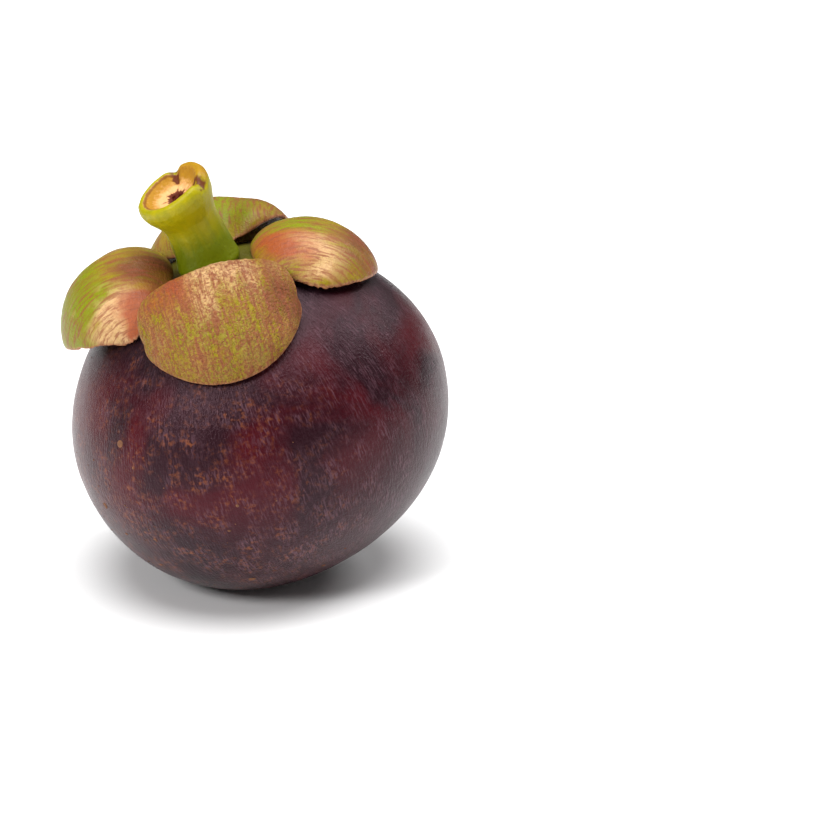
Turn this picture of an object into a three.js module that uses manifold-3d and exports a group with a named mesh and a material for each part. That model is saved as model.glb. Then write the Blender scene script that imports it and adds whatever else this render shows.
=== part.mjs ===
// A whole ripe mangosteen, stalk and calyx still on it, lying on its side as the fruit does on a
// table. Millimetres, +Z up. The origin is the centre of the small flat spot the rind rests on.
import * as THREE from "three";
import { mergeVertices } from "three/addons/utils/BufferGeometryUtils.js";
import Module from "manifold-3d";

// ---- How the fruit lies ---------------------------------------------------------------------
const LEAN_LEFT = 15.43; // degrees the stalk end leans towards -X
const LEAN_FRONT = 8.99; // degrees the stalk end leans towards -Y
const FRUIT_CENTRE = { x: 2.45, y: 2.45, z: 26.4 }; // centre of the rind above the resting spot

// ---- Rind -----------------------------------------------------------------------------------
const EQUATOR_RADIUS = 30;
const POLAR_RATIO_TOP = 0.881;
const POLAR_RATIO_BOTTOM = 0.888;
const FULLNESS_TOP = 1.9; // 2 is an ellipse, more is squarer
const FULLNESS_BOTTOM = 2.1;
const HALF_BLEND = 3; // how fast the top half's shape turns into the bottom half's
const LOBES = 3; // the fruit is very slightly three-cornered seen from above
const LOBE_HEIGHT = 0.024;
const LOBE_AZIMUTH = 2;
const TOP_DIMPLE = 1.2; // hollow the calyx sits in
const TOP_DIMPLE_RADIUS = 9;
const BOTTOM_DENT = 1.5; // hollow the stigma sits in
const BOTTOM_DENT_RADIUS = 9;
const RIND_AROUND = 56;
const RIND_RINGS = 36;

// ---- Sepals ---------------------------------------------------------------------------------
const CONTACT_GAP = 0.35; // clearance kept between neighbouring pieces
const SEPAL_THICKNESS = 1.8;
const RIM_ROUNDING = 6; // higher keeps the full thickness nearer the rim
const RIM_CROWDING = 0.8; // draws the mesh rows towards the rim
const SEPAL_AROUND = 36;
const SEPAL_RINGS = 18;
const MIDRIB_STEPS = 80;
// What all four have in common: a blade with a squarish foot and a rounder tip, a little narrower
// at the foot, whose midrib curls over fairly evenly.
const SEPAL_BASE_HEIGHT = 25.6;
const SEPAL_BASE_SQUARE = 2.9; // 2 is an ellipse, more is squarer
const SEPAL_TIP_SQUARE = 2.2;
const SEPAL_BASE_NARROW = 0.3; // share of its width that the foot lacks
const SEPAL_CURL = 0.85; // 1 curls evenly, less curls sooner
const SEPAL_ROLL = -2; // degrees each blade is tipped about its midrib
// Where each differs. azimuth and yaw: where it grows and which way it points (degrees); length and
// halfWidth along the curved blade; basePitch to tipPitch: how the midrib climbs and curls over
// (degrees); cup: radius of the curl across; baseCup: share of that curl at the foot; skew: how far
// the blade slants to one side.
const SEPALS = {
  sepal_front: {
    azimuth: -86, yaw: 6, length: 27, halfWidth: 15, basePitch: 52, tipPitch: -96,
    baseRadius: 5.5, cup: 14, baseCup: 0.2, skew: 0,
  },
  sepal_left: {
    azimuth: 173, yaw: 10, length: 28, halfWidth: 17, basePitch: 60, tipPitch: -90,
    baseRadius: 5, cup: 13, baseCup: 0.7, skew: -5,
  },
  sepal_right: {
    azimuth: 8, yaw: -4, length: 24, halfWidth: 14, basePitch: 40, tipPitch: -84,
    baseRadius: 7, cup: 12, baseCup: 0.9, skew: 1.5,
  },
  sepal_back: {
    azimuth: 83, yaw: 7, length: 29, halfWidth: 16.5, basePitch: 60, tipPitch: -100,
    baseRadius: 6, cup: 12, baseCup: 0.6, skew: -1,
  },
};

// ---- Stalk ----------------------------------------------------------------------------------
const STALK_LENGTH = 14;
const STALK_BASE = { x: 0.6, y: 0, z: 25.6 };
const STALK_BEND = 18; // degrees it bends over its whole length
const STALK_BEND_AZIMUTH = 212;
const FOOT_RADIUS = 5.0;
const SHAFT_RADIUS = 4.35;
const HEAD_RADIUS = 6;
const CRATER_RADIUS = 4.2; // hollow of the broken end
const CRATER_DEPTH = 1.7;
const PIT_RADIUS = 1.0; // small pit at the bottom of the crater
const PIT_DEPTH = 1.6;
const KNOB_AZIMUTH = 27; // raised lobe of the broken end, a notch on either side of it
const KNOB_HALF_ANGLE = 53;
const KNOB_HEIGHT = 0.25;
const NOTCH_DEPTH = 0.6;
const NOTCH_ANGLE = 11;
const HEAD_START = 5.5; // the head begins this far below the rim
const STALK_AROUND = 40;

// ---- Stigma ---------------------------------------------------------------------------------
const STIGMA_LOBES = 7;
const STIGMA_RADIUS = 4.1;
const STIGMA_THICKNESS = 0.6;
const STIGMA_CLEFT = 0.22; // how far the clefts between lobes cut in
const STIGMA_GROOVE = 0.5; // how far the grooves between lobes cut down
const STIGMA_AROUND = 42;
const STIGMA_RINGS = 10;

const SURFACES = {
  fruit_body: { color: 0x3a1f2a, roughness: 0.42 },
  stalk: { color: 0x8a9a2c, roughness: 0.5 },
  sepal_front: { color: 0x8e8248, roughness: 0.5 },
  sepal_left: { color: 0x8a8446, roughness: 0.5 },
  sepal_right: { color: 0x9a7a4c, roughness: 0.5 },
  sepal_back: { color: 0x7f8440, roughness: 0.5 },
  stigma_rosette: { color: 0x4a3428, roughness: 0.8 },
};

const wasm = await Module();
wasm.setup();

const radians = THREE.MathUtils.degToRad;
const smooth = THREE.MathUtils.smoothstep;

// Distance from the fruit's centre to the rind in the direction (polar, azimuth).
function rindRadius(polar, azimuth) {
  const s = Math.sin(polar);
  const c = Math.cos(polar);
  const topness = 0.5 + 0.5 * Math.tanh(HALF_BLEND * c);
  const ratio = THREE.MathUtils.lerp(POLAR_RATIO_BOTTOM, POLAR_RATIO_TOP, topness);
  const power = THREE.MathUtils.lerp(FULLNESS_BOTTOM, FULLNESS_TOP, topness);
  const shell = Math.pow(s, power) + Math.pow(Math.abs(c) / ratio, power);
  const lobe = LOBE_HEIGHT * Math.cos(LOBES * (azimuth - radians(LOBE_AZIMUTH))) * s * s;
  const radius = EQUATOR_RADIUS * Math.pow(shell, -1 / power) * (1 + lobe);
  const offAxis = radius * s;
  const depth = c > 0 ? TOP_DIMPLE : BOTTOM_DENT;
  const width = c > 0 ? TOP_DIMPLE_RADIUS : BOTTOM_DENT_RADIUS;
  return radius - depth * Math.exp(-2 * (offAxis / width) ** 2);
}

// Moves every vertex of a unit sphere with its poles on Z to the place the shape gives it.
function mappedSphere(around, rings, place) {
  const geometry = new THREE.SphereGeometry(1, around, rings);
  geometry.rotateX(Math.PI / 2);
  const position = geometry.attributes.position;
  const point = new THREE.Vector3();
  for (let i = 0; i < position.count; i += 1) {
    point.fromBufferAttribute(position, i);
    const polar = Math.acos(THREE.MathUtils.clamp(point.z, -1, 1));
    const azimuth = Math.atan2(point.y, point.x);
    place(point, polar, azimuth);
    position.setXYZ(i, point.x, point.y, point.z);
  }
  return geometry;
}

// Shares the vertices along seams and poles, so the surface is closed.
function welded(geometry) {
  const bare = geometry.clone();
  bare.deleteAttribute("normal");
  bare.deleteAttribute("uv");
  return mergeVertices(bare, 1e-4);
}

function toSolid(geometry) {
  const closed = welded(geometry);
  const mesh = new wasm.Mesh({
    numProp: 3,
    vertProperties: new Float32Array(closed.attributes.position.array),
    triVerts: new Uint32Array(closed.index.array),
  });
  return new wasm.Manifold(mesh);
}

function fromSolid(solid) {
  const mesh = solid.getMesh();
  const geometry = new THREE.BufferGeometry();
  geometry.setAttribute("position", new THREE.BufferAttribute(mesh.vertProperties, 3));
  geometry.setIndex(new THREE.BufferAttribute(mesh.triVerts, 1));
  return geometry;
}

// The rind: a squashed, faintly three-cornered ball, cut flat where it rests on the table.
function rindGeometry(toFruit) {
  const ball = mappedSphere(RIND_AROUND, RIND_RINGS, (point, polar, azimuth) => {
    point.setLength(rindRadius(polar, azimuth));
  });
  const size = 4 * EQUATOR_RADIUS;
  const table = new THREE.BoxGeometry(size, size, size);
  table.translate(0, 0, -size / 2);
  table.applyMatrix4(toFruit);
  return fromSolid(toSolid(ball).subtract(toSolid(table)));
}

// The midrib of a sepal as a list of distance out from the fruit's axis, height and pitch.
function midrib(sepal) {
  const steps = [];
  const stride = sepal.length / MIDRIB_STEPS;
  let out = sepal.baseRadius;
  let height = SEPAL_BASE_HEIGHT;
  for (let i = 0; i <= MIDRIB_STEPS; i += 1) {
    const turn = Math.pow(i / MIDRIB_STEPS, SEPAL_CURL);
    const pitch = radians(THREE.MathUtils.lerp(sepal.basePitch, sepal.tipPitch, turn));
    steps.push({ out, height, pitch });
    out += stride * Math.cos(pitch);
    height += stride * Math.sin(pitch);
  }
  return steps;
}

// Keeps a point of the calyx clear of the rind, as a sepal pressed against it is.
function restOnRind(point) {
  const reach = point.length();
  const polar = Math.acos(point.z / reach);
  const surface = rindRadius(polar, Math.atan2(point.y, point.x)) + CONTACT_GAP;
  if (reach < surface) {
    point.setLength(surface);
  }
}

// One sepal: a thick leathery shell that climbs from the stalk's foot and curls over the
// shoulder of the fruit. Both faces and the rounded rim come from one mapped sphere.
function sepalGeometry(sepal) {
  const rib = midrib(sepal);
  const turn = radians(sepal.azimuth);
  const roll = radians(SEPAL_ROLL);
  const yaw = radians(sepal.yaw);
  return mappedSphere(SEPAL_AROUND, SEPAL_RINGS, (point, polar, azimuth) => {
    const rho = Math.pow(Math.sin(polar), RIM_CROWDING);
    const face = Math.cos(polar) >= 0 ? 1 : -1;
    const c = -Math.cos(azimuth);
    const s = Math.sin(azimuth);
    const power = s < 0 ? SEPAL_BASE_SQUARE : SEPAL_TIP_SQUARE;
    const edge = Math.pow(Math.abs(c) ** power + Math.abs(s) ** power, -1 / power);
    const along = 0.5 * (1 + rho * edge * s);
    const narrow = 1 - SEPAL_BASE_NARROW * (1 - along) ** 2;
    const across = sepal.halfWidth * rho * edge * c * narrow + sepal.skew * (2 * along - 1);
    const at = THREE.MathUtils.clamp(along, 0, 1) * MIDRIB_STEPS;
    const low = Math.min(Math.floor(at), MIDRIB_STEPS - 1);
    const blend = at - low;
    const ribOut = THREE.MathUtils.lerp(rib[low].out, rib[low + 1].out, blend);
    const ribHeight = THREE.MathUtils.lerp(rib[low].height, rib[low + 1].height, blend);
    const pitch = THREE.MathUtils.lerp(rib[low].pitch, rib[low + 1].pitch, blend);
    const cupping = THREE.MathUtils.lerp(sepal.baseCup, 1, Math.min(2 * along, 1)) / sepal.cup;
    const bend = across * cupping;
    const lift = 0.5 * SEPAL_THICKNESS * face * Math.sqrt(1 - rho ** RIM_ROUNDING);
    const sag = (Math.cos(bend) - 1) / cupping + lift * Math.cos(bend);
    const side = Math.sin(bend) / cupping + lift * Math.sin(bend);
    const out = ribOut - Math.sin(pitch) * sag - sepal.baseRadius;
    const up = ribHeight + Math.cos(pitch) * sag - SEPAL_BASE_HEIGHT;
    const rolledSide = side * Math.cos(roll) - up * Math.sin(roll);
    const rolledUp = side * Math.sin(roll) + up * Math.cos(roll);
    const turnedOut = out * Math.cos(yaw) - rolledSide * Math.sin(yaw) + sepal.baseRadius;
    const turnedSide = out * Math.sin(yaw) + rolledSide * Math.cos(yaw);
    point.set(
      turnedOut * Math.cos(turn) - turnedSide * Math.sin(turn),
      turnedOut * Math.sin(turn) + turnedSide * Math.cos(turn),
      rolledUp + SEPAL_BASE_HEIGHT,
    );
    restOnRind(point);
  });
}

// Outline of the stalk turned about its axis: foot, shaft, flared head, crater and pit.
function stalkProfile() {
  const rim = STALK_LENGTH;
  const pitFloor = rim - CRATER_DEPTH - PIT_DEPTH;
  const outline = [
    [0, 0], [FOOT_RADIUS - 1, 0], [FOOT_RADIUS - 0.2, 0.2], [FOOT_RADIUS, 0.8],
    [SHAFT_RADIUS + 0.3, 2.4], [SHAFT_RADIUS, 5], [SHAFT_RADIUS - 0.05, rim - 6.5],
    [SHAFT_RADIUS + 0.1, rim - 5.2], [SHAFT_RADIUS + 0.6, rim - 4.1], [HEAD_RADIUS - 0.4, rim - 2.8],
    [HEAD_RADIUS, rim - 1.5], [HEAD_RADIUS, rim - 0.7], [HEAD_RADIUS - 0.3, rim],
    [HEAD_RADIUS - 0.8, rim + 0.25], [CRATER_RADIUS + 0.35, rim + 0.05],
    [CRATER_RADIUS - 0.1, rim - 0.5], [CRATER_RADIUS - 0.9, rim - 1.15],
    [PIT_RADIUS + 0.9, rim - CRATER_DEPTH + 0.1], [PIT_RADIUS + 0.2, rim - CRATER_DEPTH],
    [PIT_RADIUS - 0.1, rim - CRATER_DEPTH - 0.7], [PIT_RADIUS - 0.5, pitFloor + 0.15],
    [0, pitFloor],
  ];
  return outline.map(([radius, height]) => new THREE.Vector2(radius, height));
}

// The stalk: turned, broken off unevenly at the head, then bent over.
function stalkGeometry() {
  const geometry = new THREE.LatheGeometry(stalkProfile(), STALK_AROUND);
  geometry.rotateX(Math.PI / 2);
  const position = geometry.attributes.position;
  const bendTo = radians(STALK_BEND_AZIMUTH);
  const curve = STALK_LENGTH / radians(STALK_BEND);
  for (let i = 0; i < position.count; i += 1) {
    const x = position.getX(i);
    const y = position.getY(i);
    const height = position.getZ(i);
    const radius = Math.hypot(x, y);
    const azimuth = Math.atan2(y, x);
    const fromKnob = THREE.MathUtils.euclideanModulo(
      azimuth - radians(KNOB_AZIMUTH) + Math.PI, 2 * Math.PI) - Math.PI;
    const head = smooth(height, STALK_LENGTH - HEAD_START, STALK_LENGTH - 1) * smooth(radius, 1.5, 3.5);
    const rim = smooth(height, STALK_LENGTH - 2.5, STALK_LENGTH - 0.2) * smooth(radius, 2, 3.5);
    const knob = Math.exp(-((fromKnob / radians(KNOB_HALF_ANGLE - 7)) ** 4));
    const beside = (Math.abs(fromKnob) - radians(KNOB_HALF_ANGLE)) / radians(NOTCH_ANGLE);
    const notch = Math.exp(-(beside ** 2));
    const raised = height + KNOB_HEIGHT * knob * head - NOTCH_DEPTH * notch * rim;
    const spread = radius - 0.5 * NOTCH_DEPTH * notch * rim;
    const towards = spread * Math.cos(azimuth - bendTo);
    const beyond = spread * Math.sin(azimuth - bendTo);
    const angle = raised / curve;
    const leant = curve * (1 - Math.cos(angle)) + towards * Math.cos(angle);
    const risen = curve * Math.sin(angle) - towards * Math.sin(angle);
    position.setXYZ(
      i,
      leant * Math.cos(bendTo) - beyond * Math.sin(bendTo) + STALK_BASE.x,
      leant * Math.sin(bendTo) + beyond * Math.cos(bendTo) + STALK_BASE.y,
      risen + STALK_BASE.z,
    );
  }
  return geometry;
}

// The dry stigma under the fruit: a flat rosette with one lobe for each segment inside.
function stigmaGeometry() {
  return mappedSphere(STIGMA_AROUND, STIGMA_RINGS, (point, polar, azimuth) => {
    const rho = Math.sin(polar);
    const outer = Math.cos(polar) < 0;
    const cleft = 1 - Math.abs(Math.cos(0.5 * STIGMA_LOBES * azimuth)) ** 0.7;
    const spread = STIGMA_RADIUS * rho * (1 - STIGMA_CLEFT * cleft * rho);
    const down = Math.PI - Math.atan2(spread, EQUATOR_RADIUS * POLAR_RATIO_BOTTOM);
    const groove = 1 - STIGMA_GROOVE * cleft * smooth(rho, 0.1, 0.5);
    const skin = STIGMA_THICKNESS * Math.sqrt(1 - rho ** RIM_ROUNDING);
    const innerLayer = 0.5 * (STIGMA_THICKNESS - skin);
    const outerLayer = 0.5 * (STIGMA_THICKNESS + skin * (2 * groove - 1));
    const layer = outer ? outerLayer : innerLayer;
    const reach = rindRadius(down, azimuth) + CONTACT_GAP + layer;
    point.set(
      reach * Math.sin(down) * Math.cos(azimuth),
      reach * Math.sin(down) * Math.sin(azimuth),
      reach * Math.cos(down),
    );
  });
}

function piece(name, geometry) {
  const surface = SURFACES[name];
  const material = new THREE.MeshStandardMaterial({
    color: surface.color,
    roughness: surface.roughness,
    metalness: 0,
  });
  material.name = name;
  const mesh = new THREE.Mesh(welded(geometry), material);
  mesh.name = name;
  return mesh;
}

const fruit = new THREE.Group();
fruit.rotation.set(radians(LEAN_FRONT), radians(-LEAN_LEFT), 0, "YXZ");
fruit.position.set(FRUIT_CENTRE.x, FRUIT_CENTRE.y, FRUIT_CENTRE.z);
fruit.updateMatrix();

fruit.add(piece("fruit_body", rindGeometry(fruit.matrix.clone().invert())));
fruit.add(piece("stalk", stalkGeometry()));
for (const [name, sepal] of Object.entries(SEPALS)) {
  fruit.add(piece(name, sepalGeometry(sepal)));
}
fruit.add(piece("stigma_rosette", stigmaGeometry()));

const mangosteen = new THREE.Group();
mangosteen.add(fruit);

export default mangosteen;
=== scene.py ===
"""A whole ripe mangosteen with its calyx, stalk and stigma, made around the frame."""
import math

import bpy
import numpy as np
from bpy.props import FloatProperty, FloatVectorProperty, IntProperty, PointerProperty
from mathutils import Matrix, Vector, noise


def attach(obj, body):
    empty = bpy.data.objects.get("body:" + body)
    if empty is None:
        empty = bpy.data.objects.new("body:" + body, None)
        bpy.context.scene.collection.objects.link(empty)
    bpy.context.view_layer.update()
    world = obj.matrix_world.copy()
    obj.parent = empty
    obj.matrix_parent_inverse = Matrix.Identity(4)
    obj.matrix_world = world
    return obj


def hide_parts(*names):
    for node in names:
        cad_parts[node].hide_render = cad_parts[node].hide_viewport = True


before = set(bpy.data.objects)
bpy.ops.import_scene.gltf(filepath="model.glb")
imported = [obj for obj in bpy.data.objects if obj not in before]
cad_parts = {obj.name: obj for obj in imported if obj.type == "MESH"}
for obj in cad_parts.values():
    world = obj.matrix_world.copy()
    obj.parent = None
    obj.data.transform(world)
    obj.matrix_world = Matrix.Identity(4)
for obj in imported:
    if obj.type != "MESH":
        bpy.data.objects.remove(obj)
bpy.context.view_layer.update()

bl_info = {
    "name": "Mangosteen",
    "version": (1, 0, 0),
    "blender": (4, 5, 0),
    "location": "3D View > Sidebar > Mangosteen",
    "description": "Builds a whole ripe mangosteen with its calyx, stalk and stigma",
    "category": "Object",
}

BODY = "root"
MM = 0.001
FULL_TURN = 2 * math.pi
TISSUE_IOR = 1.45  # waxy plant skin

# How the fruit lies: its own axis leans left and a little forwards on the flat spot it rests on.
LEAN_LEFT = 15.43
LEAN_FRONT = 8.99
CENTRE = Vector((2.45, 2.45, 26.4)) * MM
LEAN = (Matrix.Rotation(math.radians(-LEAN_LEFT), 3, "Y")
        @ Matrix.Rotation(math.radians(LEAN_FRONT), 3, "X"))

# What all four sepals have in common, in millimetres and degrees.
SEPAL_BASE_HEIGHT = 25.6
SEPAL_BASE_SQUARE = 2.9  # 2 is an ellipse, more is squarer
SEPAL_TIP_SQUARE = 2.2
SEPAL_BASE_NARROW = 0.3
SEPAL_CURL = 0.85
SEPAL_ROLL = -2
RIM_ROUNDING = 6
RIM_CROWDING = 0.8
RELIEF_SINK = 0.2  # keeps the swells and creases inside the blade's plain outline
CREASE_SPACING, CREASE_DEPTH = (0.75, 2.4, 1), 0.15
PEBBLE_SPACING, PEBBLE_DEPTH = 0.55, 0.1
SWELL_SPACING, SWELL_DEPTH = (5, 8, 1), 0.25
FACES_APART = 40  # keeps the noise on a blade's two faces unlike
MIDRIB_STEPS = 80
CONTACT_GAP = 0.35

# Where each sepal differs. Places on a blade are (across, along): -1 to 1 over its width and 0 to 1
# from its foot to its tip. green, blush and brown say where that colour is strongest; the pale
# highlight entry says where a painted highlight is strongest.
# freshness is how strong the green is, wrinkle how leathery the skin is and fray how ragged the rim
# is. valley is the fold that runs out from the foot: its place across the blade and its depth in
# millimetres.
SEPALS = {
    "sepal_front": dict(
        azimuth=-86, yaw=6, length=27, half_width=15, base_pitch=52, tip_pitch=-96,
        base_radius=5.5, cup=14, base_cup=0.2, skew=0,
        green=(-0.1, 0.8), painted_highlight=(0.15, 0.33), blush=(-0.5, 0.25), brown=(0.8, 0.6),
        freshness=0.42, wrinkle=1.0, fray=0.004, valley=(0.0, 0.0), seed=1),
    "sepal_left": dict(
        azimuth=173, yaw=10, length=28, half_width=17, base_pitch=60, tip_pitch=-90,
        base_radius=5, cup=13, base_cup=0.7, skew=-5,
        green=(0.3, 0.7), painted_highlight=(0.8, 0.45), blush=(0.7, 0.2), brown=(0.0, 0.1),
        freshness=1.3, wrinkle=0.25, fray=0.02, valley=(0.1, 0.5), seed=2),
    "sepal_right": dict(
        azimuth=8, yaw=-4, length=24, half_width=14, base_pitch=40, tip_pitch=-84,
        base_radius=7, cup=12, base_cup=0.9, skew=1.5,
        green=(0.0, 0.3), painted_highlight=(-0.7, 0.45), blush=(-0.35, 0.25), brown=(-0.2, 0.9),
        freshness=0.9, wrinkle=0.25, fray=0.015, valley=(0.0, 0.0), seed=3),
    "sepal_back": dict(
        azimuth=83, yaw=7, length=29, half_width=16.5, base_pitch=60, tip_pitch=-100,
        base_radius=6, cup=12, base_cup=0.6, skew=-1,
        green=(-0.1, 0.3), painted_highlight=(-0.6, 0.75), blush=(0.9, 0.6), brown=(-0.8, 0.5),
        freshness=1.2, wrinkle=0.3, fray=0.01, valley=(-0.3, 1.7), seed=4),
}


def linear(code):
    """Turns an sRGB hex colour into the linear numbers that shaders use."""
    parts = [int(code[i:i + 2], 16) / 255 for i in (1, 3, 5)]
    return tuple(p / 12.92 if p <= 0.04045 else ((p + 0.055) / 1.055) ** 2.4 for p in parts)


def colour(code, name, description):
    return FloatVectorProperty(name=name, description=description, subtype="COLOR", size=3,
                               min=0, max=1, default=linear(code))


def length(millimetres, name, description):
    return FloatProperty(name=name, description=description, default=millimetres * MM,
                         unit="LENGTH", min=0, precision=5)


def ratio(default, name, description):
    return FloatProperty(name=name, description=description, default=default, subtype="FACTOR")


class RindSettings(bpy.types.PropertyGroup):
    """Sizes and colours of the rind."""
    equator_radius: length(30, "Equator radius", "Half the fruit's widest diameter")
    ratio_top: ratio(0.881, "Top ratio", "Height of the top half over the equator radius")
    ratio_bottom: ratio(0.888, "Bottom ratio",
                        "Height of the bottom half over the equator radius")
    fullness_top: ratio(1.9, "Top fullness", "2 is an ellipse, more is squarer")
    fullness_bottom: ratio(2.1, "Bottom fullness", "2 is an ellipse, more is squarer")
    lobe_height: ratio(0.024, "Lobe height", "How far the three faint corners stand out")
    lobe_azimuth: FloatProperty(name="Lobe direction", description="Where the first corner is",
                                default=math.radians(2), subtype="ANGLE")
    top_dimple: length(1.2, "Top dimple", "Depth of the hollow under the calyx")
    bottom_dent: length(1.5, "Bottom dent", "Depth of the hollow round the stigma")
    dimple_radius: length(9, "Dimple radius", "Reach of both hollows")
    unevenness: length(0.22, "Unevenness", "Depth of the shallow dents all over")
    around: IntProperty(name="Steps around", description="Faces round the equator", default=360)
    rings: IntProperty(name="Rings", description="Rings from pole to pole", default=250)
    purple: colour("#190910", "Purple", "The ripe rind's main colour")
    maroon: colour("#40030b", "Maroon", "Redder patches where the rind ripened last")
    # Grey bloom flecks are the rind's own; lower down the same colour is also painted reflection of
    # the pale floor.
    bloom_and_reflection: colour("#684a54", "Bloom", "The dull greyish skin over the purple")
    rust: colour("#7c4424", "Rust", "Dry corky scuffs")
    gloss: colour("#e0b8c4", "Gloss", "Tint of the highlights on the waxy skin")
    scar: colour("#5c5a12", "Calyx scar", "Green skin round the stalk, under the sepals")


class CalyxSettings(bpy.types.PropertyGroup):
    """Sizes and colours of the four sepals."""
    thickness: length(1.8, "Thickness", "Thickness of a sepal away from its rim")
    around: IntProperty(name="Steps around", description="Faces round a sepal's rim", default=260)
    rings: IntProperty(name="Rings", description="Rings over both faces of a sepal", default=180)
    olive: colour("#8d7c0c", "Olive", "The sepals' main colour")
    tan: colour("#a0703c", "Tan", "Broad warm streaks through the olive")
    green: colour("#748200", "Green", "Fresh green parts")
    blush: colour("#9c4626", "Blush", "Red parts that faced the sun")
    brown: colour("#6a3a1e", "Brown", "Dry streaks and tips")
    vein: colour("#84462e", "Vein", "Reddish netting and veins")
    # Painted highlight: a pale cream laid on the sepals' outer faces where they catch the light.
    painted_highlight: colour("#d0a878", "Cream", "Pale waxy parts")
    rim: colour("#ac7350", "Rim", "The thin dry edge")


class StalkSettings(bpy.types.PropertyGroup):
    """Sizes and colours of the stalk."""
    height: length(14, "Length", "Length along the stalk's axis")
    foot_radius: length(5.0, "Foot radius", "Radius where it meets the fruit")
    shaft_radius: length(4.35, "Shaft radius", "Radius of the shaft")
    head_radius: length(6, "Head radius", "Radius of the flared head")
    around: IntProperty(name="Steps around", description="Faces round the stalk", default=220)
    rings: IntProperty(name="Rings", description="Rings along the outline", default=230)
    fresh: colour("#a09400", "Fresh green", "Upper part of the stalk")
    # Painted shade: the stalk's foot is coloured darker where the calyx shades it.
    shaded_green: colour("#687400", "Deep green", "Foot of the stalk, in the calyx's shade")
    pith: colour("#e0aa70", "Pith", "Pale inside of the broken end")
    amber: colour("#a87812", "Amber", "Dried ring and knob of the broken end")
    dark: colour("#5c2008", "Dark pit", "Dark hollow and notches of the broken end")


class StigmaSettings(bpy.types.PropertyGroup):
    """Sizes and colours of the dry stigma and of the scabs on the rind."""
    lobes: IntProperty(name="Lobes", description="One for each segment inside", default=7, min=4)
    radius: length(4.1, "Radius", "Reach of the lobes")
    thickness: length(0.6, "Thickness", "Thickness of a lobe")
    bark: colour("#4b3524", "Bark", "Dead brown tissue")
    scab: colour("#7e5030", "Scab", "Corky specks on the rind")
    scab_radius: length(0.7, "Scab radius", "Radius of the largest speck")
    scab_seed: IntProperty(name="Scab seed", description="Chooses where the specks lie", default=5)


class StageSettings(bpy.types.PropertyGroup):
    """Floor, light and camera."""
    floor: colour("#f7f7f7", "Floor", "The plain pale floor")
    sky: ratio(0.16, "Sky", "Strength of the even light from all round")
    key: FloatProperty(name="Key light", description="Strength of the broad light overhead",
                       default=4.0, min=0)
    key_spread: FloatProperty(name="Key spread", description="How broad the light looks",
                              default=math.radians(52), subtype="ANGLE")
    front: FloatProperty(name="Front light", description="Power of the light in front on the left",
                         default=5.0, unit="POWER", min=0)
    rim: FloatProperty(name="Rim light", description="Power of the light behind on the right",
                       default=2.6, unit="POWER", min=0)
    camera_angle: FloatProperty(name="Camera angle", description="Angle down from level",
                                default=math.radians(18), subtype="ANGLE")
    camera_distance: length(322.6, "Camera distance", "From the lens to the point it looks at")
    lens: FloatProperty(name="Lens", description="Focal length", default=90, unit="CAMERA")


class MangosteenSettings(bpy.types.PropertyGroup):
    """Everything about the fruit that can be changed."""
    rind: PointerProperty(type=RindSettings)
    calyx: PointerProperty(type=CalyxSettings)
    stalk: PointerProperty(type=StalkSettings)
    stigma: PointerProperty(type=StigmaSettings)
    stage: PointerProperty(type=StageSettings)


# ---- Shared helpers ---------------------------------------------------------------------------

def add(tree, kind, feeds=None, **settings):
    """Adds a node with its settings. A feed is a value, a socket, or a node's first output."""
    node = tree.nodes.new(kind)
    for name, value in settings.items():
        setattr(node, name, value)
    for key, value in (feeds or {}).items():
        if isinstance(value, bpy.types.Node):
            value = value.outputs[0]
        if isinstance(value, bpy.types.NodeSocket):
            tree.links.new(value, node.inputs[key])
        else:
            node.inputs[key].default_value = value
    return node


def rgba(value):
    return (*value, 1.0)


def lumps(points, spacing, seed):
    """Smooth noise from -1 to 1 at each point. spacing is one size or one for each axis."""
    shift = np.array((13.7, 7.1, 3.3)) * seed
    scaled = np.asarray(points) / np.asarray(spacing) + shift
    return np.array([noise.noise(point) for point in scaled.tolist()])


def smoothstep(low, high, value):
    t = np.clip((value - low) / (high - low), 0, 1)
    return t * t * (3 - 2 * t)


def to_row(points_mm):
    """Takes points from the fruit's own frame, in millimetres, to the row's, in metres."""
    return points_mm @ np.array(LEAN).T * MM + np.array(CENTRE)


def ball_faces(rings, around):
    """Faces of a closed grid: a first pole, rings of points, a last pole."""
    def at(ring, step):
        return 1 + ring * around + step % around
    last = 1 + rings * around
    faces = [(0, at(0, j), at(0, j + 1)) for j in range(around)]
    for i in range(rings - 1):
        faces += [(at(i, j), at(i + 1, j), at(i + 1, j + 1), at(i, j + 1)) for j in range(around)]
    faces += [(last, at(rings - 1, j + 1), at(rings - 1, j)) for j in range(around)]
    return faces


def ball_angles(rings, around):
    """Polar angle and azimuth of every point of such a grid, poles included."""
    polar = np.linspace(0, math.pi, rings + 2)
    azimuth = np.linspace(0, FULL_TURN, around, endpoint=False)
    return (np.concatenate([[0.0], np.repeat(polar[1:-1], around), [math.pi]]),
            np.concatenate([[0.0], np.tile(azimuth, rings), [0.0]]))


def make_piece(name, points, faces, material, attributes):
    """Makes a smooth closed mesh object, with one number a point for each attribute."""
    mesh = bpy.data.meshes.new(name)
    mesh.from_pydata(np.asarray(points).tolist(), [], faces)
    for key, values in attributes.items():
        values = np.asarray(values, dtype=np.float32)
        if values.ndim == 1:
            layer = mesh.attributes.new(key, "FLOAT", "POINT")
            layer.data.foreach_set("value", values)
        else:
            layer = mesh.attributes.new(key, "FLOAT_VECTOR", "POINT")
            layer.data.foreach_set("vector", values.ravel())
    mesh.polygons.foreach_set("use_smooth", [True] * len(mesh.polygons))
    mesh.materials.append(material)
    mesh.update()
    piece = bpy.data.objects.new(name, mesh)
    bpy.context.scene.collection.objects.link(piece)
    return piece


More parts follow.
